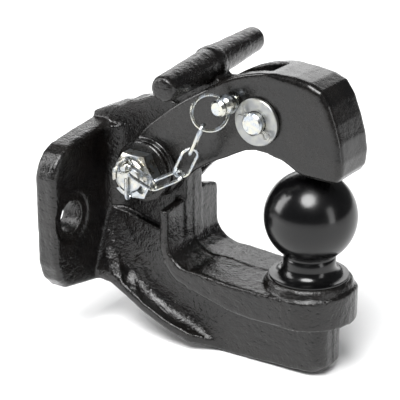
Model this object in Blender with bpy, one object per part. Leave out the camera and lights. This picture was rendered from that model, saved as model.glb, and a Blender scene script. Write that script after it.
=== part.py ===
"""Pintle hook with a 50 mm tow ball, a hinged upper jaw and a T-handled latch lever.

Shapes are drawn in millimetres, and finish() turns each sub-part into metres.
Origin: middle of the mounting face, level with its two bolt holes. +X points from the
vehicle towards the ball, +Z is up, and the jaw's hinge runs along Y.
"""

import math

import bmesh
import bpy
from mathutils import Matrix, Vector

MM = 0.001
GAP = 0.3                          # space kept between two pieces that meet

# Mounting plate
PLATE_THICK = 14.0
BOLT_HALF_SPACING = 45.0
BOLT_HOLE_R = 9.0
SPOTFACE_R = 14.5
SPOTFACE_DEPTH = 1.0

# Casting
HUB_HALF = 8.0                     # upright tongue between the jaw's cheeks
TONGUE_PROUD = 0.8                 # the tongue's front stands out from the lip
PANEL_HALF = 12.5                  # web below the tongue
BLOCK_HALF = 11.9                  # block under the ball
FLOOR_CROWN = 1.7                  # the throat's floor is highest along its middle
LIP_HALF = 25.8                    # throat flange
THROAT_X = 63.0
LIP_BACK_X = 57.7
LIP_TOPS = [(-1.0, 7.0), (-0.94, 7.5), (-0.5, 8.8), (0.0, 11.0), (0.5, 12.4), (0.94, 9.4), (1.0, 7.4)]
LIP_FLOOR_Z = -25.5
LIP_UNDER_Z = -42.0
BLOCK_FRONT_X = 153.8
BLOCK_BOTTOM_Z = -72.5
HUB_TOP_R = 40.3                   # tongue's top is an arc about the jaw's hinge

# Tow ball
BALL_X = 138.0
BALL_Z = 14.0
BALL_R = 25.0
NECK_R = 14.1
COLLAR_R = 21.5
COLLAR_FLARE_R = 6.2
COLLAR_RIM_Z = -18.4
SEAT_Z = -19.6
SHANK_R = 9.0

# Jaw hinge
JAW_X = 43.5
JAW_Z = 25.5
EYE_R = 17.0
EYE_HALF = 18.0
JAW_HALF = 15.0
SLOT_HALF = 8.5
BOLT_R = 8.0
WASHER_THICK = 3.0
BOLT_HEAD_HIGH = 10.0
NUT_FLATS = 24.0
NUT_HEX_HIGH = 8.2
NUT_HIGH = 12.0
CROWN_R = 11.2
CROWN_SLOT = 4.6

# Latch lever
LEVER_X = 114.0
LEVER_Z = 66.0
LEVER_HALF = 7.5
LEVER_EYE_R = 8.5
LEVER_PIN_R = 6.0
LEVER_COTTER_Y = -19.9
LEVER_COTTER_AXIS = Vector((0.83, 0.0, -0.558))
SLOT_END_R = 9.3
BAR_X = 74.5
BAR_Z = 87.0
BAR_HALF = 50.6
BAR_MID_R = 8.8
BAR_END_R = 7.1
BAR_YAW = math.radians(4.0)        # the forged bar sits a little askew
BAR_ROLL = math.radians(1.7)

# Lock pin with its ring
LOCK_X = 98.0
LOCK_Z = 73.5
LOCK_R = 4.0
COLLAR_BALL_R = 5.75
COLLAR_BALL_Y = -20.6
RING_R = 9.4                       # to the middle of the split ring's wire
RING_WIRE_R = 1.0
RING_NORMAL = Vector((0.520, -0.771, 0.3665)).normalized()
RING_OUT = Vector((-0.661, -0.6365, -0.4018))       # from the pin's hole to the ring's middle
HOLE_CENTRE = Vector((LOCK_X, COLLAR_BALL_Y, LOCK_Z))

# Chain
LINK_HALF = 9.6                    # middle of a link to the middle of its end wire
LINK_ROUND_R = 4.2
LINK_WIRE_R = 0.95
CHAIN_POINTS = [                   # where each link hooks on the next, from the cotter to the ring
    (47.9, -38.4, 33.0),
    (62.6, -36.7, 26.4),
    (75.9, -30.5, 33.6),
    (83.3, -30.8, 48.1),
    (90.4, -31.7, 62.8),
]
LINK_TURNS = (56.0, -55.0, 27.0, -95.0)              # each link's twist about its own length

NUT_Y = -(EYE_HALF + WASHER_THICK + 2 * GAP)
NUT_FRONT_Y = NUT_Y - NUT_HIGH
COTTER_Y = NUT_FRONT_Y + 2.2
COTTER_R = 0.85
COTTER_LEG_Y = NUT_FRONT_Y - 1.9
COTTER_EYE_R = 3.9
COTTER_EYE = Vector((44.9, -37.5, 33.6))
COTTER_EYE_NORMAL = Vector((0.011, -0.623, 0.782))


# ---- materials ---------------------------------------------------------------

def material(name, colour, roughness, metallic):
    mat = bpy.data.materials.new(name)
    mat.use_nodes = True
    shader = mat.node_tree.nodes["Principled BSDF"]
    shader.inputs["Base Color"].default_value = (*colour, 1.0)
    shader.inputs["Roughness"].default_value = roughness
    shader.inputs["Metallic"].default_value = metallic
    return mat


def black_casting(name):
    return material(name, (0.018, 0.018, 0.019), 0.38, 0.0)


def black_gloss(name):
    return material(name, (0.012, 0.012, 0.013), 0.14, 0.0)


def bright_zinc(name):
    return material(name, (0.72, 0.73, 0.72), 0.28, 1.0)


# ---- making and joining shapes -----------------------------------------------

def add_mesh(name, bm):
    """Make an object from a bmesh."""
    bmesh.ops.recalc_face_normals(bm, faces=bm.faces)
    mesh = bpy.data.meshes.new(name)
    bm.to_mesh(mesh)
    bm.free()
    obj = bpy.data.objects.new(name, mesh)
    bpy.context.scene.collection.objects.link(obj)
    return obj


def prism(name, outline, across, low, high):
    """Extrude a flat outline along the axis named by across, from low to high.

    The outline's points are (x, z) across Y, (y, z) across X and (x, y) across Z.
    """
    place = {
        "x": lambda a, b: (low, a, b),
        "y": lambda a, b: (a, low, b),
        "z": lambda a, b: (a, b, low),
    }[across]
    direction = Vector([high - low if axis == across else 0.0 for axis in "xyz"])
    bm = bmesh.new()
    face = bm.faces.new([bm.verts.new(place(a, b)) for a, b in outline])
    grown = bmesh.ops.extrude_face_region(bm, geom=[face])
    top = [item for item in grown["geom"] if isinstance(item, bmesh.types.BMVert)]
    bmesh.ops.translate(bm, vec=direction, verts=top)
    return add_mesh(name, bm)


def box(name, low, high):
    outline = [(low[0], low[2]), (high[0], low[2]), (high[0], high[2]), (low[0], high[2])]
    return prism(name, outline, "y", low[1], high[1])


def loft(name, sections):
    """Join a row of sections, each with the same number of points, and cap both ends."""
    bm = bmesh.new()
    rings = [[bm.verts.new(point) for point in section] for section in sections]
    count = len(rings[0])
    for ring, following in zip(rings, rings[1:]):
        for i in range(count):
            j = (i + 1) % count
            bm.faces.new((ring[i], ring[j], following[j], following[i]))
    bm.faces.new(rings[0])
    bm.faces.new(reversed(rings[-1]))
    return add_mesh(name, bm)


def turned(name, profile, centre, axis, steps=48):
    """Spin a profile of (radius, distance along the axis) points about the axis."""
    bm = bmesh.new()
    verts = [bm.verts.new((radius, 0.0, along)) for radius, along in profile]
    edges = [bm.edges.new(pair) for pair in zip(verts, verts[1:])]
    bmesh.ops.spin(bm, geom=verts + edges, cent=(0, 0, 0), axis=(0, 0, 1),
                   angle=2 * math.pi, steps=steps, use_merge=True)
    bmesh.ops.remove_doubles(bm, verts=bm.verts, dist=0.0001)
    turn = Vector((0, 0, 1)).rotation_difference(Vector(axis).normalized())
    bmesh.ops.transform(bm, matrix=Matrix.Translation(centre) @ turn.to_matrix().to_4x4(),
                        verts=bm.verts)
    return add_mesh(name, bm)


def rod(name, radius, start, end, chamfer=0.0, steps=40):
    """A round bar between two points, with chamfered ends when asked."""
    start = Vector(start)
    along = Vector(end) - start
    length = along.length
    profile = [(0.0, 0.0), (radius - chamfer, 0.0), (radius, chamfer),
               (radius, length - chamfer), (radius - chamfer, length), (0.0, length)]
    if chamfer == 0.0:
        profile = [(0.0, 0.0), (radius, 0.0), (radius, length), (0.0, length)]
    return turned(name, profile, start, along, steps)


def sleeve(name, outer, inner, start, end, chamfer=0.4, steps=48):
    """A washer or bush: a round bar with a round hole."""
    start = Vector(start)
    along = Vector(end) - start
    length = along.length
    profile = [(inner, 0.0), (outer - chamfer, 0.0), (outer, chamfer),
               (outer, length - chamfer), (outer - chamfer, length), (inner, length), (inner, 0.0)]
    return turned(name, profile, start, along, steps)


def wire(name, points, radius, cyclic=False, sides=3):
    """A round wire that follows a row of points."""
    curve = bpy.data.curves.new(name, "CURVE")
    curve.dimensions = "3D"
    curve.bevel_depth = radius
    curve.bevel_resolution = sides
    curve.use_fill_caps = not cyclic
    spline = curve.splines.new("POLY")
    spline.points.add(len(points) - 1)
    for target, point in zip(spline.points, points):
        target.co = (*point, 1.0)
    spline.use_cyclic_u = cyclic
    obj = bpy.data.objects.new(name, curve)
    bpy.context.scene.collection.objects.link(obj)
    return obj


def settle(obj):
    """Apply the object's modifiers to its mesh."""
    graph = bpy.context.evaluated_depsgraph_get()
    graph.update()
    mesh = bpy.data.meshes.new_from_object(obj.evaluated_get(graph))
    obj.modifiers.clear()
    obj.data = mesh
    return obj


def weld(obj, distance=0.004):
    """Merge points that a Boolean left almost on top of each other."""
    bm = bmesh.new()
    bm.from_mesh(obj.data)
    bmesh.ops.remove_doubles(bm, verts=bm.verts, dist=distance)
    bmesh.ops.dissolve_degenerate(bm, edges=bm.edges, dist=distance)
    bm.to_mesh(obj.data)
    bm.free()


def combine(obj, others, operation):
    """Join, cut or trim an object with others, which are used up."""
    for other in others:
        modifier = obj.modifiers.new(operation.lower(), "BOOLEAN")
        modifier.operation = operation
        modifier.solver = "EXACT"
        modifier.object = other
        settle(obj)
        weld(obj)
        bpy.data.objects.remove(other)
    return obj


def join(obj, *others):
    return combine(obj, others, "UNION")


def cut(obj, *others):
    return combine(obj, others, "DIFFERENCE")


def trim(obj, *others):
    return combine(obj, others, "INTERSECT")


def round_edges(obj, width, segments=2, angle=40.0):
    modifier = obj.modifiers.new("rounded edges", "BEVEL")
    modifier.width = width
    modifier.segments = segments
    modifier.limit_method = "ANGLE"
    modifier.angle_limit = math.radians(angle)
    return settle(obj)


def round_some(obj, width, segments, wanted):
    """Round only the edges whose middle point and direction pass the test."""
    bm = bmesh.new()
    bm.from_mesh(obj.data)
    chosen = []
    for edge in bm.edges:
        middle = (edge.verts[0].co + edge.verts[1].co) / 2
        direction = (edge.verts[1].co - edge.verts[0].co).normalized()
        if wanted(middle, direction):
            chosen.append(edge)
    bmesh.ops.bevel(bm, geom=chosen, offset=width, offset_type="OFFSET",
                    segments=segments, profile=0.5, affect="EDGES")
    bm.to_mesh(obj.data)
    bm.free()
    weld(obj)
    return obj


def arc(centre, radius, start, end, steps):
    """Points on an arc, angles in degrees."""
    points = []
    for step in range(steps + 1):
        angle = math.radians(start + (end - start) * step / steps)
        points.append((centre[0] + radius * math.cos(angle), centre[1] + radius * math.sin(angle)))
    return points


def mirrored(half):
    """Close an outline whose first coordinate is mirrored about zero."""
    return half + [(-a, b) for a, b in reversed(half) if abs(a) > 0.001]


def finish(obj, name, mat):
    """Name and paint a sub-part, and turn its millimetres into metres."""
    obj.data.transform(Matrix.Scale(MM, 4))
    obj.name = name
    obj.data.name = name
    obj.data.materials.clear()
    obj.data.materials.append(mat)
    if obj.type == "MESH":
        obj.data.shade_smooth()
        obj.data.set_sharp_from_angle(angle=math.radians(38))
    return obj


def move_origin(obj, point):
    """Put a mesh object's origin on its joint without moving its shape."""
    shift = Vector(point) * MM
    obj.data.transform(Matrix.Translation(-shift))
    obj.location = shift
    return obj


# ---- the casting ---------------------------------------------------------------

def mounting_plate():
    half = [(0.0, 46.5), (10.0, 46.0), (28.0, 44.0), (46.0, 41.4), (52.3, 38.4), (57.2, 33.2),
            (60.0, 26.0), (59.8, -25.0), (57.0, -34.4), (51.2, -40.6), (26.0, -45.0), (0.0, -46.4)]
    plate = prism("plate", mirrored(half), "x", 0.0, PLATE_THICK)
    return round_edges(plate, 2.4, 2)


def root_fillet():
    """Concave sweep from the plate's front into the upright tongue."""
    radius = 11.0
    reach = PLATE_THICK + radius
    sweep = arc((reach, HUB_HALF + radius), radius, 180, 270, 6)
    half = [(PLATE_THICK - 3.0, HUB_HALF + radius)] + sweep + [(reach + 4.0, HUB_HALF)]
    outline = half + [(x, -y) for x, y in reversed(half)]
    return prism("root fillet", outline, "z", -43.0, 44.2)


def upright_tongue():
    front = THROAT_X + TONGUE_PROUD
    start = math.degrees(math.acos(1.5 / HUB_TOP_R))
    end = math.degrees(math.acos((front - JAW_X) / HUB_TOP_R))
    crest = arc((JAW_X, JAW_Z), HUB_TOP_R, start, end, 5)
    outline = [(1.0, -40.0), (1.0, 49.0), (3.0, 49.8), (14.0, 54.6), (20.0, 55.6), (26.0, 59.6),
               (31.0, 60.4), (39.0, 64.0)] + crest + [(front, -14.0), (front + 6.0, -30.0)]
    return prism("tongue", outline, "y", -HUB_HALF, HUB_HALF)


def lower_panel():
    outline = [(4.0, -42.0), (4.0, -2.5), (25.0, -4.5), (50.0, -10.5), (61.0, -13.0), (66.0, -26.0),
               (80.0, -32.0), (104.0, -36.0), (98.0, -48.0), (90.5, -57.0), (90.0, -73.5),
               (77.5, -71.5), (61.0, -60.0), (45.0, -52.0), (22.0, -42.0)]
    return prism("panel", outline, "y", -PANEL_HALF, PANEL_HALF)


def ball_block():
    outline = [(84.0, -33.0), (BLOCK_FRONT_X, -30.0), (BLOCK_FRONT_X, -68.0), (150.6, -71.4),
               (92.0, -74.0), (84.0, -72.0)]
    block = prism("block", outline, "y", -BLOCK_HALF, BLOCK_HALF)
    return round_some(block, 7.5, 5,
                      lambda p, d: p.x > BLOCK_FRONT_X - 5 and abs(d.y) < 0.1 and abs(p.y) > 5)


def throat_lip():
    """Wide curved flange with a floor that is crowned along the middle, trimmed to its plan."""
    far = BALL_X + LIP_HALF + 5.0
    under = [(LIP_BACK_X, -15.0), (60.5, -22.0), (64.0, -28.0),
             (68.0, -31.5), (76.0, -34.3), (87.0, -37.5), (101.5, -41.0), (117.0, -42.6),
             (134.0, LIP_UNDER_Z), (far, LIP_UNDER_Z)]
    floor = [(far, LIP_FLOOR_Z), (110.0, LIP_FLOOR_Z), (101.5, -25.2), (93.0, -24.6), (85.0, -23.9),
             (77.0, -24.1), (71.0, -22.5), (66.0, -18.6), (63.6, -14.5), (THROAT_X, -10.0)]
    sections = []
    for share, top in LIP_TOPS:
        crown = FLOOR_CROWN * (1.0 - abs(share))
        raised = [(x, z + crown * min(1.0, max(0.0, (x - THROAT_X) / 8.0))) for x, z in floor]
        loop = [(LIP_BACK_X, top)] + under + raised + [(THROAT_X, top)]
        sections.append([(x, share * LIP_HALF, z) for x, z in loop])
    lip = loft("lip", sections)
    nose = arc((BALL_X, 0.0), LIP_HALF, -90, 90, 20)
    plan = prism("plan", [(50.0, -LIP_HALF)] + nose + [(50.0, LIP_HALF)], "z", -60.0, 20.0)
    trim(lip, plan)
    return round_some(lip, 1.6, 2, lambda p, d: abs(p.y) > LIP_HALF - 0.01 and p.x < BALL_X
                      and p.z < 6.0)


def ball_seat():
    """Raised round boss that flares from the ball's collar into the lip."""
    outer = LIP_HALF - 0.4
    profile = [(0.0, -32.0), (outer, -32.0), (outer, -27.0), (24.4, -25.2), (23.8, -23.0),
               (23.2, -21.2), (22.4, -20.1), (21.8, SEAT_Z), (0.0, SEAT_Z)]
    return turned("ball seat", profile, (BALL_X, 0, 0), (0, 0, 1), 48)


def under_flange():
    """Rib along the underside: its side band, and a hollow flare up to the panel."""
    stations = [
        # x, half width, bottom, band top, flare (half width, z), panel z
        (11.0, 25.5, -44.6, -40.0, (21.5, -25.5), -3.0),
        (17.0, 25.2, -44.0, -38.0, (20.0, -24.0), -5.0),
        (23.0, 24.8, -44.8, -38.0, (18.0, -26.0), -11.0),
        (32.0, 24.5, -49.8, -43.8, (17.0, -36.0), -24.0),
        (45.0, 24.4, -57.4, -51.4, (17.2, -47.2), -41.0),
        (61.0, 23.8, -64.6, -58.8, (17.2, -54.6), -49.8),
        (75.0, 22.6, -69.0, -63.2, (17.0, -59.2), -54.6),
        (88.0, 13.4, -72.8, -67.4, (13.2, -62.0), -57.0),
    ]
    inside = PANEL_HALF - 1.5
    sections = []
    for x, wide, bottom, band, flare, panel in stations:
        half = [(wide - 0.8, bottom), (wide, bottom + 1.2), (wide, band), flare,
                (PANEL_HALF + 0.4, panel), (inside, panel + 3.0)]
        loop = half + [(-y, z) for y, z in reversed(half)]
        sections.append([(x, y, z) for y, z in loop])
    return loft("under flange", sections)


def hook_body():
    body = mounting_plate()
    join(body, root_fillet(), upright_tongue(), lower_panel(), under_flange(), ball_block(),
         throat_lip(), ball_seat())
    for side in (-1, 1):
        y = side * BOLT_HALF_SPACING
        face = PLATE_THICK - SPOTFACE_DEPTH
        profile = [(0.0, -5.0), (BOLT_HOLE_R, -5.0), (BOLT_HOLE_R, face), (SPOTFACE_R, face),
                   (SPOTFACE_R, face + 5.0), (0.0, face + 5.0)]
        cut(body, turned("bolt hole", profile, (0, y, 0), (1, 0, 0), 44))
    cut(body, rod("hinge hole", BOLT_R + GAP, (JAW_X, -30, JAW_Z), (JAW_X, 30, JAW_Z)),
        rod("shank hole", SHANK_R + GAP, (BALL_X, 0, -90), (BALL_X, 0, 0)))
    return finish(body, "hook_body", black_casting("hook body paint"))


# ---- the ball ------------------------------------------------------------------

def tow_ball():
    """Ball, waisted neck, flared collar and shank, turned as one piece."""
    neck_angle = math.degrees(math.acos((NECK_R - 0.6) / BALL_R))
    profile = [(BALL_R * math.cos(math.radians(a)), BALL_Z + BALL_R * math.sin(math.radians(a)))
               for a in [90 - 6.0 * step for step in range(28)] if a > -neck_angle]
    profile[0] = (0.0, BALL_Z + BALL_R)
    top = BALL_Z - BALL_R * math.sin(math.radians(neck_angle))
    seat = SEAT_Z + GAP
    flare = arc((NECK_R + COLLAR_FLARE_R, COLLAR_RIM_Z + COLLAR_FLARE_R), COLLAR_FLARE_R, 180, 270, 6)
    profile += [(NECK_R - 0.6, top), (NECK_R - 0.7, top - 1.0), (NECK_R, top - 2.0)] + flare
    profile += [(COLLAR_R - 0.2, COLLAR_RIM_Z - 0.1), (COLLAR_R, COLLAR_RIM_Z - 0.4), (COLLAR_R, seat),
                (SHANK_R, seat), (SHANK_R, -72.0), (SHANK_R - 1.0, -72.8), (0.0, -72.8)]
    ball = turned("ball", profile, (BALL_X, 0, 0), (0, 0, 1), 52)
    return finish(ball, "tow_ball", black_gloss("ball black"))


# ---- the upper jaw ---------------------------------------------------------------

def jaw_outline():
    eye = arc((JAW_X, JAW_Z), EYE_R, 300, 120, 10)
    outer = [(43.0, 50.3), (51.0, 57.0), (58.4, 63.0), (67.3, 69.3), (80.5, 77.2), (90.0, 83.1),
             (98.0, 87.2), (105.7, 89.9), (114.0, 91.8), (122.4, 92.7), (133.0, 92.3), (143.0, 90.8),
             (150.0, 88.0), (154.8, 81.2), (158.8, 71.4), (161.8, 61.7), (163.2, 52.0), (162.6, 44.6),
             (160.2, 41.0), (156.0, 39.9), (141.0, 40.3)]
    inner = [(136.5, 41.8), (131.0, 44.8), (125.0, 47.8), (118.5, 49.5), (112.0, 49.7),
             (105.5, 47.9), (99.5, 44.9), (93.6, 41.6), (88.0, 39.0), (81.4, 35.3), (74.4, 30.7),
             (68.0, 25.4), (62.0, 18.8), (57.0, 13.0)]
    return eye + outer + inner


def jaw_slot():
    """Opening between the cheeks for the tongue and for the latch lever."""
    end = arc((LEVER_X, LEVER_Z), SLOT_END_R, 64, -90, 10)
    outline = [(15.0, 100.0), (118.0, 100.0)] + end + [
        (104.0, 56.2), (97.0, 54.0), (90.0, 50.2), (84.5, 46.3), (84.5, 20.0), (15.0, -10.0)]
    return prism("slot", outline, "y", -SLOT_HALF, SLOT_HALF)


def upper_jaw():
    jaw = prism("jaw", jaw_outline(), "y", -JAW_HALF, JAW_HALF)
    round_some(jaw, 3.2, 3, lambda p, d: abs(p.y) > JAW_HALF - 0.01 and p.x > 124.0)
    round_some(jaw, 1.4, 2, lambda p, d: abs(p.y) > JAW_HALF - 0.01 and p.x < 110.0
               and (p.x > 60.0 or p.z > 44.0))
    eye = rod("eye", EYE_R, (JAW_X, -EYE_HALF, JAW_Z), (JAW_X, EYE_HALF, JAW_Z), 0.8, 56)
    join(jaw, eye)
    cut(jaw, jaw_slot(),
        rod("hinge hole", BOLT_R + GAP, (JAW_X, -30, JAW_Z), (JAW_X, 30, JAW_Z)),
        rod("lever pin hole", LEVER_PIN_R + GAP, (LEVER_X, -30, LEVER_Z), (LEVER_X, 30, LEVER_Z)),
        rod("lock pin hole", LOCK_R + GAP, (LOCK_X, -30, LOCK_Z), (LOCK_X, 30, LOCK_Z)))
    finish(jaw, "upper_jaw", black_casting("jaw paint"))
    return move_origin(jaw, (JAW_X, 0, JAW_Z))


# ---- the jaw's hinge bolt --------------------------------------------------------

def hexagon(name, flats, start_y, end_y):
    """Hexagon bar along Y with its corners chamfered at end_y."""
    corner = flats / math.sqrt(3.0)
    outline = [(JAW_X + corner * math.cos(math.radians(60 * i)),
                JAW_Z + corner * math.sin(math.radians(60 * i))) for i in range(6)]
    bar = prism(name, outline, "y", min(start_y, end_y), max(start_y, end_y))
    inward = -1.0 if end_y > start_y else 1.0
    profile = [(0.0, 0.0), (flats / 2 - 0.35, 0.0), (corner + 0.5, 1.7), (corner + 0.5, 40.0),
               (0.0, 40.0)]
    cone = turned("chamfer", profile, (JAW_X, end_y, JAW_Z), (0, inward, 0), 60)
    return trim(bar, cone)


def jaw_pivot_bolt():
    head_y = EYE_HALF + WASHER_THICK + 2 * GAP
    bolt = hexagon("head", NUT_FLATS, head_y, head_y + BOLT_HEAD_HIGH)
    shank = rod("shank", BOLT_R, (JAW_X, head_y + 2.0, JAW_Z), (JAW_X, NUT_FRONT_Y - 0.3, JAW_Z), 0.9)
    join(bolt, shank)
    cut(bolt, rod("cotter hole", COTTER_R + GAP, (JAW_X, COTTER_Y, JAW_Z - 20),
                  (JAW_X, COTTER_Y, JAW_Z + 20), 0, 24))
    finish(bolt, "jaw_pivot_bolt", bright_zinc("bolt zinc"))
    return move_origin(bolt, (JAW_X, 0, JAW_Z))


def pivot_washer(name, side):
    inner_y = side * (EYE_HALF + GAP)
    outer_y = inner_y + side * WASHER_THICK
    washer = sleeve(name, EYE_R, BOLT_R + GAP, (JAW_X, inner_y, JAW_Z), (JAW_X, outer_y, JAW_Z), 0.5, 56)
    finish(washer, name, black_casting(name + " paint"))
    return move_origin(washer, (JAW_X, 0, JAW_Z))


def crown_slots(floor_y, open_y):
    """Six-armed star whose arms cut the nut's slots."""
    half = CROWN_SLOT / 2
    reach = 20.0
    outline = []
    for arm in range(6):
        out = math.radians(90 + 60 * arm)
        for side in (-1, 1):
            outline.append((JAW_X + reach * math.cos(out) - side * half * math.sin(out),
                            JAW_Z + reach * math.sin(out) + side * half * math.cos(out)))
        between = out + math.radians(30)
        crotch = half / math.sin(math.radians(30))
        outline.append((JAW_X + crotch * math.cos(between), JAW_Z + crotch * math.sin(between)))
    return prism("slots", outline, "y", open_y, floor_y)


def jaw_castle_nut():
    hex_y = NUT_Y - NUT_HEX_HIGH
    nut = hexagon("nut", NUT_FLATS, NUT_Y, hex_y)
    crown = rod("crown", CROWN_R, (JAW_X, NUT_Y - 3.0, JAW_Z), (JAW_X, NUT_FRONT_Y, JAW_Z), 0.8, 48)
    join(nut, crown)
    cut(nut, rod("thread", BOLT_R + GAP, (JAW_X, 0, JAW_Z), (JAW_X, -60, JAW_Z)))
    cut(nut, crown_slots(hex_y - 0.4, NUT_FRONT_Y - 2.0))
    finish(nut, "jaw_castle_nut", bright_zinc("nut zinc"))
    return move_origin(nut, (JAW_X, 0, JAW_Z))


def castle_nut_cotter():
    """Pin through the bolt: its eye folded forward at the top, one leg bent up in front."""
    bend_r = (COTTER_Y - COTTER_LEG_Y) / 2
    bend = arc((COTTER_Y - bend_r, JAW_Z - 9.6), bend_r, 180, 360, 6)
    path = [Vector((JAW_X, COTTER_LEG_Y, JAW_Z + z)) for z in (0.5, -4.5, -8.0)]
    path += [Vector((JAW_X, y, z)) for y, z in bend]
    path += [Vector((JAW_X, COTTER_Y, JAW_Z + z)) for z in (-5.0, 0.0, 5.0, 9.0)]
    path += [Vector((JAW_X - 0.1, COTTER_Y - 0.8, JAW_Z + 11.1)),
             Vector((JAW_X - 0.3, COTTER_Y - 2.1, JAW_Z + 11.4))]
    across = Vector((1, 0, 0))
    back = COTTER_EYE_NORMAL.cross(across).normalized()
    for step in range(19):
        angle = math.radians(122 + 296 * step / 18)
        path.append(COTTER_EYE + COTTER_EYE_R * (across * math.cos(angle) + back * math.sin(angle)))
    pin = wire("castle_nut_cotter", path, COTTER_R, sides=2)
    return finish(pin, "castle_nut_cotter", bright_zinc("cotter zinc"))


# ---- the latch lever ---------------------------------------------------------------

def lever_outline():
    nose_r = HUB_TOP_R + 0.9
    nose = arc((JAW_X, JAW_Z), nose_r, 84, 42.5, 9)
    eye = arc((LEVER_X, LEVER_Z), LEVER_EYE_R, -110, 100, 12)
    top = [(108.5, 77.5), (104.0, 82.0), (98.0, 83.6), (91.0, 82.0), (84.0, 81.0), (80.0, 84.0),
           (75.0, 91.0), (69.5, 84.0), (64.0, 77.0), (56.0, 72.4), (48.5, 69.6)]
    under = [(82.5, 47.2), (90.0, 52.4), (97.0, 56.4), (104.0, 58.4)]
    return nose + under + eye + top


def t_bar():
    profile = [(0.0, -BAR_HALF), (BAR_END_R - 2.2, -BAR_HALF + 0.2), (BAR_END_R - 0.7, -BAR_HALF + 1.2),
               (BAR_END_R, -BAR_HALF + 3.0), (BAR_MID_R - 0.2, -8.0), (BAR_MID_R, -3.4),
               (BAR_MID_R + 0.7, -2.2), (BAR_MID_R + 0.7, 2.2), (BAR_MID_R, 3.4), (BAR_MID_R - 0.2, 8.0),
               (BAR_END_R, BAR_HALF - 3.0), (BAR_END_R - 0.7, BAR_HALF - 1.2),
               (BAR_END_R - 2.2, BAR_HALF - 0.2), (0.0, BAR_HALF)]
    axis = (-math.sin(BAR_YAW), math.cos(BAR_YAW), math.sin(BAR_ROLL))
    return turned("bar", profile, (BAR_X, 0, BAR_Z), axis, 40)


def lock_pin_track():
    """Curved slot about the lever's pin, so that the lever clears the lock pin at every angle."""
    reach = math.hypot(LOCK_X - LEVER_X, LOCK_Z - LEVER_Z)
    rest = math.degrees(math.atan2(LOCK_Z - LEVER_Z, LOCK_X - LEVER_X))
    half = LOCK_R + 0.5
    outer = arc((LEVER_X, LEVER_Z), reach + half, rest - 17.0, rest + 42.0, 10)
    inner = arc((LEVER_X, LEVER_Z), reach - half, rest + 42.0, rest - 17.0, 10)
    return prism("track", outer + inner, "y", -20.0, 20.0)


def spring_pocket():
    y = 2.2
    pocket = rod("pocket", LEVER_EYE_R + 1.0, (LEVER_X, y, LEVER_Z), (LEVER_X, y + 20.0, LEVER_Z))
    top = box("top leg", (105.6, y, 71.8), (LEVER_X, y + 20.0, 76.5))
    bottom = box("bottom leg", (105.6, y, 55.0), (LEVER_X, y + 20.0, 60.4))
    return join(pocket, top, bottom)


def latch_lever():
    lever = prism("lever", lever_outline(), "y", -LEVER_HALF, LEVER_HALF)
    round_edges(lever, 0.9, 1, 50)
    join(lever, t_bar())
    cut(lever, lock_pin_track(), spring_pocket(),
        rod("pin hole", LEVER_PIN_R + GAP, (LEVER_X, -20, LEVER_Z), (LEVER_X, 20, LEVER_Z)))
    finish(lever, "latch_lever", black_casting("lever paint"))
    return move_origin(lever, (LEVER_X, 0, LEVER_Z))


def latch_spring():
    """Torsion spring round the lever's pin that holds the lever down."""
    wire_r = 0.7
    coil_r = LEVER_PIN_R + GAP + wire_r + 0.2
    turns = 2.5
    steps = 40
    first_y = 3.3
    rise = 3.9
    coil = []
    for step in range(steps + 1):
        angle = math.radians(90 - 360 * turns * step / steps)
        coil.append((LEVER_X + coil_r * math.cos(angle), first_y + rise * step / steps,
                     LEVER_Z + coil_r * math.sin(angle)))
    top_leg = [(106.4, first_y, LEVER_Z + coil_r), (109.0, first_y, LEVER_Z + coil_r)]
    bottom_leg = [(110.0, first_y + rise, LEVER_Z - coil_r), (106.4, first_y + rise, LEVER_Z - coil_r)]
    spring = wire("latch_spring", top_leg + coil + bottom_leg, wire_r, sides=2)
    return finish(spring, "latch_spring", bright_zinc("spring steel"))


def lever_pivot_pin():
    head_y = JAW_HALF + GAP
    profile = [(0.0, -22.3), (LEVER_PIN_R - 1.0, -22.3), (LEVER_PIN_R, -21.3), (LEVER_PIN_R, head_y),
               (9.5, head_y), (9.5, head_y + 3.4), (8.6, head_y + 4.2), (0.0, head_y + 4.2)]
    pin = turned("pin", profile, (LEVER_X, 0, LEVER_Z), (0, 1, 0), 44)
    drill = LEVER_COTTER_AXIS * 12.0
    centre = Vector((LEVER_X, LEVER_COTTER_Y, LEVER_Z))
    cut(pin, rod("cotter hole", 1.45, centre - drill, centre + drill, 0, 24))
    finish(pin, "lever_pivot_pin", bright_zinc("lever pin zinc"))
    return move_origin(pin, (LEVER_X, 0, LEVER_Z))


def lever_pin_washer():
    washer = sleeve("washer", 12.8, LEVER_PIN_R + GAP, (LEVER_X, -JAW_HALF - GAP, LEVER_Z),
                    (LEVER_X, -JAW_HALF - GAP - 2.5, LEVER_Z), 0.4, 56)
    finish(washer, "lever_pin_washer", bright_zinc("washer zinc"))
    return move_origin(washer, (LEVER_X, 0, LEVER_Z))


def lever_pin_cotter():
    """Small split pin: round eye on one side, its two legs bent apart on the other."""
    out = LEVER_COTTER_AXIS.normalized()
    side = Vector((0, -1, 0)).cross(out)
    centre = Vector((LEVER_X, LEVER_COTTER_Y, LEVER_Z))
    half = 0.62
    eye_r = 1.75
    eye_at = 9.6
    path = [centre - out * 10.0 + side * 3.4, centre - out * 8.6 + side * 1.9,
            centre - out * 7.0 + side * half]
    path += [centre + out * d + side * half for d in (-3.0, 2.0, 6.6)]
    for step in range(11):
        angle = math.radians(150 - 300 * step / 10)
        path.append(centre + out * (eye_at + eye_r * math.cos(angle)) + side * eye_r * math.sin(angle))
    path += [centre + out * d - side * half for d in (6.6, 2.0, -3.0, -7.0)]
    path += [centre - out * 8.4 - side * 1.5, centre - out * 9.2 - side * 2.8]
    pin = wire("lever_pin_cotter", path, 0.5, sides=2)
    return finish(pin, "lever_pin_cotter", bright_zinc("small cotter zinc"))


# ---- lock pin, ring and chain -------------------------------------------------------

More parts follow.
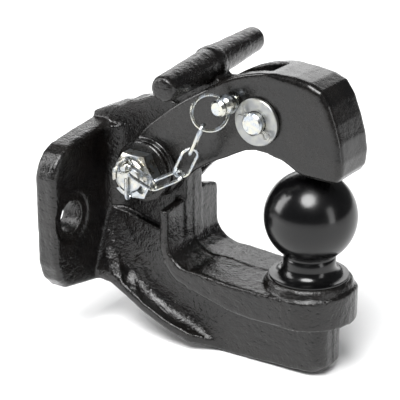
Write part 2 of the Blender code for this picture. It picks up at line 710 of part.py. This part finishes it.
def ring_points(radius, steps):
    out = (RING_OUT - RING_NORMAL * RING_OUT.dot(RING_NORMAL)).normalized()
    side = RING_NORMAL.cross(out)
    centre = HOLE_CENTRE + out * RING_R
    return [centre + radius * (out * math.cos(2 * math.pi * i / steps)
                               + side * math.sin(2 * math.pi * i / steps)) for i in range(steps)]


def lock_pin():
    ball_profile = []
    for step in range(9):
        angle = math.radians(-62 + 124 * step / 8)
        ball_profile.append((COLLAR_BALL_R * math.cos(angle),
                             -COLLAR_BALL_Y + COLLAR_BALL_R * math.sin(angle)))
    profile = [(0.0, -17.4), (LOCK_R - 1.0, -17.4), (LOCK_R, -16.2), (LOCK_R, JAW_HALF)]
    profile += ball_profile
    profile += [(3.5, 26.2), (4.6, 26.9), (4.6, 28.2), (3.4, 29.6), (0.0, 29.6)]
    pin = turned("lock pin", profile, (LOCK_X, 0, LOCK_Z), (0, -1, 0), 32)
    hole = wire("ring hole", ring_points(RING_R, 40), RING_WIRE_R + 0.65, cyclic=True, sides=3)
    cutter = bpy.data.objects.new("ring hole cutter", bpy.data.meshes.new_from_object(hole))
    bpy.context.scene.collection.objects.link(cutter)
    bpy.data.objects.remove(hole)
    cut(pin, cutter)
    finish(pin, "lock_pin", bright_zinc("lock pin zinc"))
    return move_origin(pin, (LOCK_X, 0, LOCK_Z))


def pull_ring():
    ring = wire("pull_ring", ring_points(RING_R, 40), RING_WIRE_R, cyclic=True, sides=3)
    return finish(ring, "pull_ring", bright_zinc("ring zinc"))


def link_points(middle, along, across):
    """Centre line of an oval link."""
    straight = LINK_HALF - LINK_ROUND_R
    points = []
    for end in (1, -1):
        for step in range(9):
            angle = math.radians(-90 + 22.5 * step) if end > 0 else math.radians(90 + 22.5 * step)
            points.append(middle + along * (end * straight + LINK_ROUND_R * math.cos(angle))
                          + across * (LINK_ROUND_R * math.sin(angle)))
    return points


def chain_link(number, start, end, turn):
    along = (end - start).normalized()
    flat = RING_NORMAL - along * RING_NORMAL.dot(along)
    across = Matrix.Rotation(math.radians(turn), 3, along) @ flat.normalized().cross(along)
    name = f"chain_link_{number}"
    link = wire(name, link_points((start + end) / 2, along, across), LINK_WIRE_R, cyclic=True, sides=2)
    return finish(link, name, bright_zinc(f"link {number} zinc"))


def chain():
    for number, turn in enumerate(LINK_TURNS, 1):
        chain_link(number, Vector(CHAIN_POINTS[number - 1]), Vector(CHAIN_POINTS[number]), turn)


def main():
    for obj in list(bpy.data.objects):
        bpy.data.objects.remove(obj)
    hook_body()
    tow_ball()
    upper_jaw()
    jaw_pivot_bolt()
    pivot_washer("jaw_pivot_washer", -1)
    pivot_washer("bolt_head_washer", 1)
    jaw_castle_nut()
    castle_nut_cotter()
    latch_lever()
    latch_spring()
    lever_pivot_pin()
    lever_pin_washer()
    lever_pin_cotter()
    lock_pin()
    pull_ring()
    chain()


main()
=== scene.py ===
"""Looks of the pintle hook with a tow ball: cast black paint, gloss black ball, bright zinc."""

import math

import bmesh
import bpy
import numpy as np
from mathutils import Matrix, Vector, noise


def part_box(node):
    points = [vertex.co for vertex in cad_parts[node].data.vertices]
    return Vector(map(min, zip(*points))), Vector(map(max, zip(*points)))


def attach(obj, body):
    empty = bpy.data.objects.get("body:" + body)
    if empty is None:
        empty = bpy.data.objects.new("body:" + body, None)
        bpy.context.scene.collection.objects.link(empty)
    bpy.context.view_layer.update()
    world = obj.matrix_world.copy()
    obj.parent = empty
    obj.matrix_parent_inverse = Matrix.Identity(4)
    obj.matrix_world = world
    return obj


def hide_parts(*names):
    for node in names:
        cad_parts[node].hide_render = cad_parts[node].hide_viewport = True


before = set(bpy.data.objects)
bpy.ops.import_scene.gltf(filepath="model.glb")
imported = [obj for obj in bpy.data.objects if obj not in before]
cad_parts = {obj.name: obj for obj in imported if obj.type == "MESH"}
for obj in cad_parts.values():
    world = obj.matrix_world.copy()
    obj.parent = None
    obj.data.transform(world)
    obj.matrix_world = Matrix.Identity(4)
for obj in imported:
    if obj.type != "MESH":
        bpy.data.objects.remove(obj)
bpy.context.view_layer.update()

CAMERA_AZIMUTH = math.radians(34.0)
CAMERA_ELEVATION = math.radians(21.5)
CAMERA_PLACE = Vector((0.5261, -0.6796, 0.3303))
CAMERA_LENS = 144.0
MIDDLE = Vector((0.080, 0.0, 0.008))
FLOOR_HALF = 6.0
BOLT_HALF_SPACING = 0.045
HINGE = (0.0435, 0.0, 0.0255)
LEVER_PIN = (0.114, 0.0, 0.066)
LOCK_PIN = (0.098, 0.0, 0.0735)
BALL_X = 0.138
NECK_R = 0.0141
COLLAR_R = 0.0215
COLLAR_FLARE_R = 0.0062
COLLAR_FLARE_Z = -0.0122           # middle of the flare's arc
SEAT_Z = -0.0193
SHANK_R = 0.0090
THROAT_X = 0.062
WEB_HALF = 0.0129
FLARE_HOLLOW = 0.0022
FLOOR_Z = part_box("hook_body")[0].z - 0.0004
FLARE = np.array([                 # x, half width, band's top, turn's half width and z, web's z
    (0.023, 0.0248, -0.0380, 0.0180, -0.0260, -0.0110),
    (0.032, 0.0245, -0.0438, 0.0170, -0.0360, -0.0240),
    (0.045, 0.0244, -0.0514, 0.0172, -0.0472, -0.0410),
    (0.061, 0.0238, -0.0588, 0.0172, -0.0546, -0.0498),
    (0.075, 0.0226, -0.0632, 0.0170, -0.0592, -0.0546),
    (0.088, 0.0134, -0.0674, 0.0132, -0.0620, -0.0570),
])


# ---- meshes --------------------------------------------------------------------

def read_points(mesh):
    points = np.empty(len(mesh.vertices) * 3)
    mesh.vertices.foreach_get("co", points)
    return points.reshape(-1, 3)


def write_points(mesh, points):
    mesh.vertices.foreach_set("co", points.ravel())
    mesh.update()


def read_normals(mesh):
    normals = np.empty(len(mesh.vertices) * 3)
    mesh.vertex_normals.foreach_get("vector", normals)
    return normals.reshape(-1, 3)


def read_edges(mesh):
    edges = np.empty(len(mesh.edges) * 2, int)
    mesh.edges.foreach_get("vertices", edges)
    return edges.reshape(-1, 2)


def relax(points, edges, steps, share):
    """Average every point with its neighbours; share says how far each point may go."""
    count = len(points)
    degree = np.bincount(edges.ravel(), minlength=count)[:, None]
    for _ in range(steps):
        total = np.empty_like(points)
        for axis in range(3):
            total[:, axis] = (np.bincount(edges[:, 0], points[edges[:, 1], axis], count)
                              + np.bincount(edges[:, 1], points[edges[:, 0], axis], count))
        points = points + (total / degree - points) * share[:, None]
    return points


def even_skin(node, voxel):
    """A copy of a CAD node's surface with small, even faces."""
    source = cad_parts[node]
    piece = bpy.data.objects.new(node + "_surface", source.data.copy())
    bpy.context.scene.collection.objects.link(piece)
    modifier = piece.modifiers.new("even skin", "REMESH")
    modifier.mode = "VOXEL"
    modifier.voxel_size = voxel
    graph = bpy.context.evaluated_depsgraph_get()
    mesh = bpy.data.meshes.new_from_object(piece.evaluated_get(graph))
    piece.modifiers.clear()
    piece.data = mesh
    return piece


def waves(points, length, offset):
    """Smooth bumps of about this length, from -1 to 1."""
    shift = Vector((offset, offset * 0.37, -offset * 0.61))
    scale = 1.0 / length
    return np.array([noise.noise(Vector(point) * scale + shift) for point in points])


def distance_to_axis(points, through, along):
    """Distance of each point from a straight line."""
    offset = points - np.array(through)
    direction = np.array(Vector(along).normalized())
    return np.linalg.norm(offset - np.outer(offset @ direction, direction), axis=1)


def forging_line(points):
    """Height of the forging's parting line: a thin wavy ridge with a small step beside it."""
    wander = waves(points * (1, 0, 1), 0.016, 2.2) * 0.0020
    across = points[:, 1] - wander
    ridge = np.exp(-(across / 0.0008) ** 2) * 0.00045
    step = np.clip(across / 0.0012, 0.0, 1.0) * 0.0004
    throat = np.clip((points[:, 0] - THROAT_X) / 0.002, 0.0, 1.0)
    fade = np.clip((np.abs(points[:, 1]) - 0.020) / -0.008, 0.0, 1.0)
    return (ridge + step * fade) * throat


def hollow_flare(points):
    """Hollow of the under-flange's flare, deepest midway between its side band and the web."""
    x, y, z = points[:, 0], np.abs(points[:, 1]), points[:, 2]
    wide, band, turn, low, web = (np.interp(x, FLARE[:, 0], FLARE[:, column]) for column in range(1, 6))
    upper = web + (low - web) * np.clip((y - WEB_HALF) / (turn - WEB_HALF), 0.0, 1.0)
    lower = low + (band - low) * np.clip((y - turn) / (wide - turn), 0.0, 1.0)
    surface_z = np.where(y < turn, upper, lower)
    near = np.exp(-((z - surface_z) / 0.0025) ** 2)
    share = np.clip((y - WEB_HALF) / (wide - WEB_HALF), 0.0, 1.0)
    ends = np.clip((x - 0.022) / 0.010, 0.0, 1.0) * np.clip((0.087 - x) / 0.008, 0.0, 1.0)
    return -4.0 * FLARE_HOLLOW * share * (1.0 - share) * near * ends


def body_marks(points):
    return forging_line(points) + hollow_flare(points)


def plain(points):
    return np.zeros(len(points))


def soften(piece, node, voxel, steps, crisp, bumps, marks):
    """Round a piece's edges, make its surface uneven and keep it as large as its CAD node."""
    mesh = piece.data
    edges = read_edges(mesh)
    points = read_points(mesh)
    share = 0.5 * (1.0 - crisp(points))
    points = relax(points, edges, steps, share)
    low, high = (np.array(corner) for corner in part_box(node))
    points = low + (points - points.min(0)) / np.ptp(points, axis=0) * (high - low)
    write_points(mesh, points)
    normals = read_normals(mesh)
    free = (share / 0.5)[:, None]
    for length, height, offset in bumps:
        points = points + normals * (waves(points, length, offset) * height)[:, None] * (0.25 + 0.75 * free)
    points = points + normals * marks(points)[:, None] * free
    points = np.clip(points, low, high)
    write_points(mesh, points)
    mark_edges(mesh, points, edges, voxel)
    mesh.shade_smooth()
    return piece


def mark_edges(mesh, points, edges, voxel):
    """Store how convex the surface is at each point, for edges lightened as thin paint and as a painted
    highlight.
    """
    flat = relax(points, edges, 8, np.full(len(points), 0.5))
    outward = ((points - flat) * read_normals(mesh)).sum(1) / voxel
    attribute = mesh.attributes.new("edge", "FLOAT", "POINT")
    attribute.data.foreach_set("value", outward.astype(np.float32))


# ---- shader helpers --------------------------------------------------------------

def new_material(name):
    mat = bpy.data.materials.new(name)
    mat.use_nodes = True
    tree = mat.node_tree
    shader = tree.nodes["Principled BSDF"]
    coords = tree.nodes.new("ShaderNodeTexCoord").outputs["Object"]
    return mat, tree, shader, coords


def noise_node(tree, coords, size, detail=2.0, roughness=0.5):
    """Noise whose features are about this many metres across."""
    node = tree.nodes.new("ShaderNodeTexNoise")
    node.inputs["Scale"].default_value = 1.0 / size
    node.inputs["Detail"].default_value = detail
    node.inputs["Roughness"].default_value = roughness
    tree.links.new(coords, node.inputs["Vector"])
    return node.outputs["Fac"]


def cells_node(tree, coords, size):
    """Round cells, for pits about this many metres apart."""
    node = tree.nodes.new("ShaderNodeTexVoronoi")
    node.feature = "SMOOTH_F1"
    node.inputs["Scale"].default_value = 1.0 / size
    tree.links.new(coords, node.inputs["Vector"])
    return node.outputs["Distance"]


def spread(tree, value, low, high, to_low, to_high):
    """Map a value from low..high to to_low..to_high, smoothly and clamped."""
    node = tree.nodes.new("ShaderNodeMapRange")
    node.interpolation_type = "SMOOTHSTEP"
    tree.links.new(value, node.inputs["Value"])
    for socket, number in zip(("From Min", "From Max", "To Min", "To Max"), (low, high, to_low, to_high)):
        node.inputs[socket].default_value = number
    return node.outputs["Result"]


def combine(tree, operation, first, second):
    """A math node; second may be a number or a socket."""
    node = tree.nodes.new("ShaderNodeMath")
    node.operation = operation
    tree.links.new(first, node.inputs[0])
    if isinstance(second, (int, float)):
        node.inputs[1].default_value = second
    else:
        tree.links.new(second, node.inputs[1])
    return node.outputs[0]


def blend_colours(tree, factor, first, second):
    node = tree.nodes.new("ShaderNodeMix")
    node.data_type = "RGBA"
    tree.links.new(factor, node.inputs["Factor"])
    for socket, colour in ((node.inputs["A"], first), (node.inputs["B"], second)):
        if isinstance(colour, tuple):
            socket.default_value = (*colour, 1.0)
        else:
            tree.links.new(colour, socket)
    return node.outputs["Result"]


def bump(tree, shader, layers):
    """Stack bump layers of (height socket, depth in metres)."""
    before = None
    for height, depth in layers:
        node = tree.nodes.new("ShaderNodeBump")
        node.inputs["Strength"].default_value = 1.0
        node.inputs["Distance"].default_value = depth
        tree.links.new(height, node.inputs["Height"])
        if before is not None:
            tree.links.new(before, node.inputs["Normal"])
        before = node.outputs["Normal"]
    tree.links.new(before, shader.inputs["Normal"])


# ---- materials -------------------------------------------------------------------

def casting_paint(name, grain, depth, glossy, dull):
    """Black paint over a forged skin: orange peel, pits, pale specks and thin paint on the edges, lightened
    there also as a painted highlight.
    """
    mat, tree, shader, coords = new_material(name)
    peel = noise_node(tree, coords, grain, 3.0, 0.6)
    lumps = noise_node(tree, coords, grain * 5.0, 2.0, 0.5)
    pits = spread(tree, cells_node(tree, coords, grain * 2.6), 0.10, 0.34, 0.0, 1.0)
    patches = noise_node(tree, coords, grain * 14.0, 4.0, 0.7)
    edge = tree.nodes.new("ShaderNodeAttribute")
    edge.attribute_name = "edge"
    speckle = noise_node(tree, coords, grain * 1.1, 2.0, 0.7)
    convex = spread(tree, edge.outputs["Fac"], 0.10, 0.60, 0.0, 1.0)
    # Convex edges lightened in speckles: partly thin, worn paint, partly a painted highlight for the glints
    # on the edges.
    wear_and_painted_highlight = combine(tree, "MULTIPLY", convex, spread(tree, speckle, 0.46, 0.62, 0.0, 1.0))
    dust = spread(tree, noise_node(tree, coords, grain * 0.7, 2.0, 0.7), 0.56, 0.72, 0.0, 1.0)
    paint = blend_colours(tree, spread(tree, patches, 0.3, 0.7, 0.0, 1.0),
                          (0.0016, 0.0015, 0.0015), (0.0056, 0.0046, 0.0040))
    paint = blend_colours(tree, dust, paint, (0.008, 0.007, 0.0065))
    # Pale edge colour: worn paint and painted highlight in one.
    colour = blend_colours(tree, wear_and_painted_highlight, paint, (0.070, 0.068, 0.064))
    tree.links.new(colour, shader.inputs["Base Color"])
    rough = spread(tree, patches, 0.25, 0.75, glossy, dull)
    rough = combine(tree, "ADD", rough, spread(tree, peel, 0.3, 0.7, -0.05, 0.05))
    tree.links.new(rough, shader.inputs["Roughness"])
    shader.inputs["Specular IOR Level"].default_value = 0.50
    bump(tree, shader, [(lumps, depth * 1.5), (pits, depth * 0.4), (peel, depth)])
    return mat


def gloss_paint(name):
    """Smooth black enamel with a faint orange peel."""
    mat, tree, shader, coords = new_material(name)
    peel = noise_node(tree, coords, 0.0016, 2.0, 0.5)
    haze = noise_node(tree, coords, 0.018, 3.0, 0.55)
    dust = spread(tree, noise_node(tree, coords, 0.0007, 1.0, 0.5), 0.70, 0.78, 0.0, 1.0)
    colour = blend_colours(tree, dust, (0.0020, 0.0020, 0.0022), (0.008, 0.008, 0.008))
    tree.links.new(colour, shader.inputs["Base Color"])
    tree.links.new(spread(tree, haze, 0.3, 0.7, 0.17, 0.25), shader.inputs["Roughness"])
    shader.inputs["Specular IOR Level"].default_value = 0.45
    bump(tree, shader, [(peel, 0.000010)])
    return mat


def zinc(name, roughness, warm=(0.54, 0.53, 0.46), cool=(0.45, 0.49, 0.54)):
    """Bright zinc plate: slightly yellow and blue patches, fine scratches and dull spots."""
    mat, tree, shader, coords = new_material(name)
    patches = noise_node(tree, coords, 0.0045, 3.0, 0.6)
    fine = noise_node(tree, coords, 0.0006, 2.0, 0.6)
    spots = spread(tree, noise_node(tree, coords, 0.0022, 2.0, 0.6), 0.58, 0.70, 0.0, 1.0)
    colour = blend_colours(tree, spread(tree, patches, 0.35, 0.65, 0.0, 1.0), warm, cool)
    colour = blend_colours(tree, combine(tree, "MULTIPLY", spots, 0.55), colour, (0.36, 0.36, 0.35))
    tree.links.new(colour, shader.inputs["Base Color"])
    shader.inputs["Metallic"].default_value = 1.0
    rough = spread(tree, patches, 0.3, 0.7, roughness - 0.06, roughness + 0.08)
    tree.links.new(combine(tree, "ADD", rough, combine(tree, "MULTIPLY", spots, 0.12)),
                   shader.inputs["Roughness"])
    bump(tree, shader, [(patches, 0.00005), (fine, 0.000016)])
    return mat


def floor_paint():
    mat, tree, shader, coords = new_material("pale floor")
    speckle = noise_node(tree, coords, 0.004, 2.0, 0.5)
    tree.links.new(blend_colours(tree, speckle, (0.95, 0.95, 0.95), (0.97, 0.97, 0.97)),
                   shader.inputs["Base Color"])
    shader.inputs["Roughness"].default_value = 0.9
    return mat


# ---- pieces ------------------------------------------------------------------------

def surface(node, body, mat, voxel, steps, crisp, bumps, marks=plain):
    piece = soften(even_skin(node, voxel), node, voxel, steps, crisp, bumps, marks)
    piece.data.materials.clear()
    piece.data.materials.append(mat)
    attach(piece, body)
    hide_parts(node)
    return piece


def turned_ball(mat):
    """Ball, waisted neck, flared collar and shank as one finely turned surface."""
    low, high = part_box("tow_ball")
    middle = (low.x + high.x) / 2
    radius = (high.x - low.x) / 2
    centre = high.z - radius
    waist = -math.acos((NECK_R - 0.0006) / radius)
    profile = [(radius * math.cos(a), centre + radius * math.sin(a))
               for a in np.linspace(math.pi / 2, waist, 60)]
    top = profile[-1][1]
    profile[0] = (0.0, high.z)
    profile += [(NECK_R - 0.0007, top - 0.0010), (NECK_R - 0.0004, top - 0.0016),
                (NECK_R, top - 0.0022)]
    profile += [(NECK_R + COLLAR_FLARE_R * (1.0 + math.cos(a)),
                 COLLAR_FLARE_Z + COLLAR_FLARE_R * math.sin(a))
                for a in np.linspace(math.pi, 1.5 * math.pi, 12)]
    profile += [(COLLAR_R - 0.0004, -0.01842), (COLLAR_R - 0.00008, -0.0186), (COLLAR_R, -0.0189),
                (COLLAR_R, SEAT_Z), (SHANK_R, SEAT_Z), (SHANK_R, low.z + 0.0008),
                (SHANK_R - 0.0010, low.z), (0.0, low.z)]
    bm = bmesh.new()
    verts = [bm.verts.new((r, 0.0, z)) for r, z in profile]
    edges = [bm.edges.new(pair) for pair in zip(verts, verts[1:])]
    bmesh.ops.spin(bm, geom=verts + edges, cent=(0, 0, 0), axis=(0, 0, 1), angle=2 * math.pi,
                   steps=128, use_merge=True)
    bmesh.ops.remove_doubles(bm, verts=bm.verts, dist=0.000002)
    bmesh.ops.recalc_face_normals(bm, faces=bm.faces)
    bmesh.ops.translate(bm, vec=(middle, 0.0, 0.0), verts=bm.verts)
    mesh = bpy.data.meshes.new("tow_ball_surface")
    bm.to_mesh(mesh)
    bm.free()
    mesh.shade_smooth()
    mesh.set_sharp_from_angle(angle=math.radians(40))
    mesh.materials.append(mat)
    piece = bpy.data.objects.new("tow_ball_surface", mesh)
    bpy.context.scene.collection.objects.link(piece)
    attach(piece, "base")
    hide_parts("tow_ball")


def body_crisp(points):
    """Machined places on the casting that stay sharp: mounting face, holes and ball seat."""
    crisp = np.where(points[:, 0] < 0.0005, 0.95, 0.0)
    for y in (-BOLT_HALF_SPACING, BOLT_HALF_SPACING):
        near = distance_to_axis(points, (0.0, y, 0.0), (1, 0, 0))
        crisp = np.maximum(crisp, np.clip((0.0165 - near) / 0.002, 0.0, 0.8))
    hinge = distance_to_axis(points, HINGE, (0, 1, 0))
    crisp = np.maximum(crisp, np.clip((0.0105 - hinge) / 0.002, 0.0, 0.8))
    ball = distance_to_axis(points, (BALL_X, 0.0, 0.0), (0, 0, 1))
    high = np.clip((points[:, 2] + 0.0215) / 0.001, 0.0, 1.0)
    return np.maximum(crisp, np.clip((0.0222 - ball) / 0.001, 0.0, 0.8) * high)


def jaw_crisp(points):
    """The jaw's machined holes stay sharp, and its sides keep a tight corner."""
    crisp = np.full(len(points), 0.35)
    for middle, radius in ((HINGE, 0.0105), (LEVER_PIN, 0.0085), (LOCK_PIN, 0.006)):
        near = distance_to_axis(points, middle, (0, 1, 0))
        crisp = np.maximum(crisp, np.clip((radius - near) / 0.0015, 0.0, 0.85))
    front = np.clip((points[:, 0] - 0.128) / 0.012, 0.0, 1.0)
    return crisp * (1.0 - front)


def lever_crisp(points):
    near = distance_to_axis(points, LEVER_PIN, (0, 1, 0))
    return np.clip((0.0115 - near) / 0.002, 0.0, 0.8)


def cast_pieces():
    body_mat = casting_paint("casting paint", 0.0010, 0.00030, 0.13, 0.22)
    jaw_mat = casting_paint("jaw paint", 0.0012, 0.00007, 0.20, 0.30)
    lever_mat = casting_paint("lever paint", 0.0010, 0.00030, 0.17, 0.27)
    surface("hook_body", "base", body_mat, 0.0008, 3, body_crisp,
            [(0.011, 0.00012, 1.3), (0.0040, 0.00010, 7.7), (0.0021, 0.00010, 4.1)], body_marks)
    surface("upper_jaw", "jaw", jaw_mat, 0.0007, 2, jaw_crisp,
            [(0.012, 0.00016, 5.1), (0.0036, 0.00005, 2.9)])
    surface("latch_lever", "lever", lever_mat, 0.0007, 2, lever_crisp,
            [(0.008, 0.00020, 9.4), (0.0024, 0.00013, 3.3)])
    return jaw_mat


def paint_nodes(jaw_mat):
    """Give the CAD nodes that stay their own materials."""
    nut = zinc("nut zinc", 0.30, (0.56, 0.54, 0.47), (0.45, 0.48, 0.51))
    bright = zinc("bright zinc", 0.24)
    dull = zinc("washer zinc", 0.40, (0.41, 0.41, 0.38), (0.35, 0.36, 0.37))
    spring = zinc("spring steel", 0.32, (0.30, 0.30, 0.31), (0.22, 0.23, 0.25))
    chosen = {
        "jaw_pivot_washer": jaw_mat,
        "bolt_head_washer": jaw_mat,
        "jaw_pivot_bolt": nut,
        "jaw_castle_nut": nut,
        "castle_nut_cotter": bright,
        "lever_pivot_pin": bright,
        "lever_pin_washer": dull,
        "lever_pin_cotter": dull,
        "lock_pin": bright,
        "pull_ring": bright,
        "latch_spring": spring,
    }
    for number in range(1, 5):
        chosen[f"chain_link_{number}"] = bright
    for name, mat in chosen.items():
        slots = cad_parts[name].data.materials
        slots.clear()
        slots.append(mat)


# ---- stage --------------------------------------------------------------------------

def look_at(obj, place, target):
    obj.location = place
    obj.rotation_euler = (Vector(target) - Vector(place)).to_track_quat("-Z", "Y").to_euler()


def softbox(name, direction, distance, width, height, power):
    light = bpy.data.lights.new(name, "AREA")
    light.shape = "RECTANGLE"
    light.size = width
    light.size_y = height
    light.energy = power
    obj = bpy.data.objects.new(name, light)
    bpy.context.scene.collection.objects.link(obj)
    look_at(obj, MIDDLE + Vector(direction).normalized() * distance, MIDDLE)


def stage():
    mesh = bpy.data.meshes.new("floor")
    corners = ((-1, -1), (1, -1), (1, 1), (-1, 1))
    mesh.from_pydata([(x * FLOOR_HALF, y * FLOOR_HALF, 0) for x, y in corners], [], [(0, 1, 2, 3)])
    floor = bpy.data.objects.new("floor", mesh)
    floor.location = (0.0, 0.0, FLOOR_Z)
    mesh.materials.append(floor_paint())
    bpy.context.scene.collection.objects.link(floor)

    world = bpy.data.worlds.new("studio")
    world.use_nodes = True
    background = world.node_tree.nodes["Background"]
    background.inputs["Color"].default_value = (0.95, 0.97, 1.0, 1.0)
    background.inputs["Strength"].default_value = 0.12
    bpy.context.scene.world = world

    sun = bpy.data.lights.new("overhead softbox", "SUN")
    sun.energy = 4.4
    sun.angle = math.radians(32.0)
    lamp = bpy.data.objects.new("overhead softbox", sun)
    bpy.context.scene.collection.objects.link(lamp)
    look_at(lamp, MIDDLE + Vector((0.16, -0.50, 0.85)), MIDDLE)

    softbox("right softbox", (0.96, -0.125, 0.2525), 0.7, 0.16, 0.40, 0.7)
    softbox("left softbox", (-0.75, -0.45, 0.45), 0.8, 0.30, 0.60, 4.5)
    softbox("back softbox", (-0.50, 0.78, 0.42), 1.0, 0.9, 0.5, 3.6)


def camera():
    data = bpy.data.cameras.new("camera")
    data.lens = CAMERA_LENS
    data.sensor_width = 36.0
    data.clip_start = 0.01
    obj = bpy.data.objects.new("camera", data)
    bpy.context.scene.collection.objects.link(obj)
    back = Vector((math.sin(CAMERA_AZIMUTH) * math.cos(CAMERA_ELEVATION),
                   -math.cos(CAMERA_AZIMUTH) * math.cos(CAMERA_ELEVATION),
                   math.sin(CAMERA_ELEVATION)))
    right = Vector((math.cos(CAMERA_AZIMUTH), math.sin(CAMERA_AZIMUTH), 0.0))
    up = back.cross(right)
    turn = Matrix((right, up, back)).transposed()
    obj.matrix_world = Matrix.Translation(CAMERA_PLACE) @ turn.to_4x4()
    bpy.context.scene.camera = obj


paint_nodes(cast_pieces())
turned_ball(gloss_paint("ball enamel"))
stage()
camera()
bpy.context.scene.view_settings.view_transform = "Standard"
